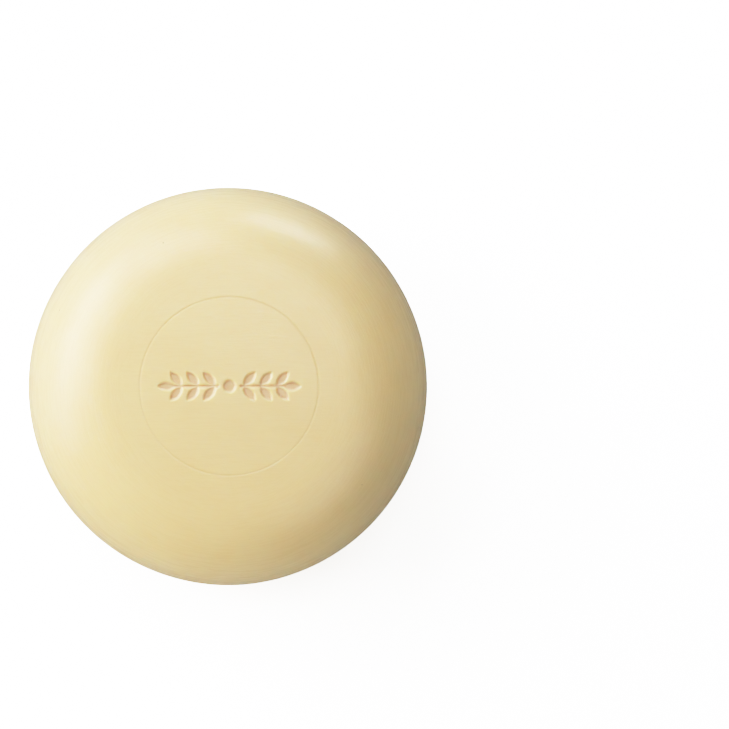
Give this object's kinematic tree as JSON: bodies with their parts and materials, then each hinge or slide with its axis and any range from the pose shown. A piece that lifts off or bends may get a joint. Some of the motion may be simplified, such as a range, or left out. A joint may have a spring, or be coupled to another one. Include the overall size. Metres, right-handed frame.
{
  "type": "shaving soap puck",
  "caption": "Round pillow-shaped puck of shaving soap with rounded shoulders, a plain flat back, a fine pressed ring and a leaf-sprig ornament pressed into the face.",
  "frame": {"origin": "centre of the flat disc on the back, on which the puck rests", "axes": "+Z along the puck's axis, out of the stamped face; +Y towards the top of the ornament, +X along the ornament's stem"},
  "size_m": [0.0636, 0.0636, 0.033],
  "materials": {
    "soap": "satin"
  },
  "bodies": {
    "root": {"soap_puck": "soap"}
  },
  "joints": []
}
